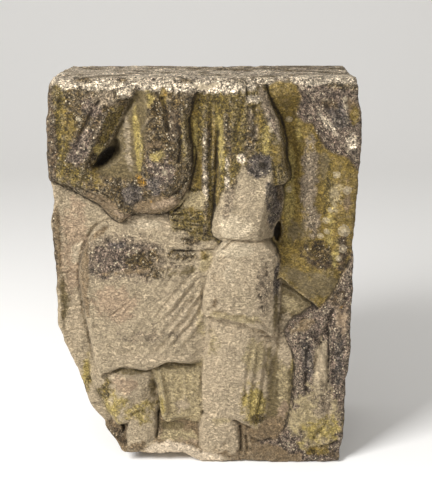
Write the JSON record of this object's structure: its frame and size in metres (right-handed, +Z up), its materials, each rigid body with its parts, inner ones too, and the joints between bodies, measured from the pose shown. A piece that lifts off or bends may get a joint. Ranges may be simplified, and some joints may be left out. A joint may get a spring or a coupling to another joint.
{
  "type": "stone relief panel",
  "caption": "Weathered stone block with a headless seated draped figure carved in a shallow niche, one lower corner broken off.",
  "frame": {"origin": "middle of the overall box, on the underside the block stands on", "axes": "+X to the right as seen from the front, -Y out of the carved face, +Z up"},
  "size_m": [0.7697, 0.4, 1],
  "materials": {
    "stone": "weathered matte limestone with moss and lichen"
  },
  "bodies": {
    "root": {"relief_block": "stone"}
  },
  "joints": []
}
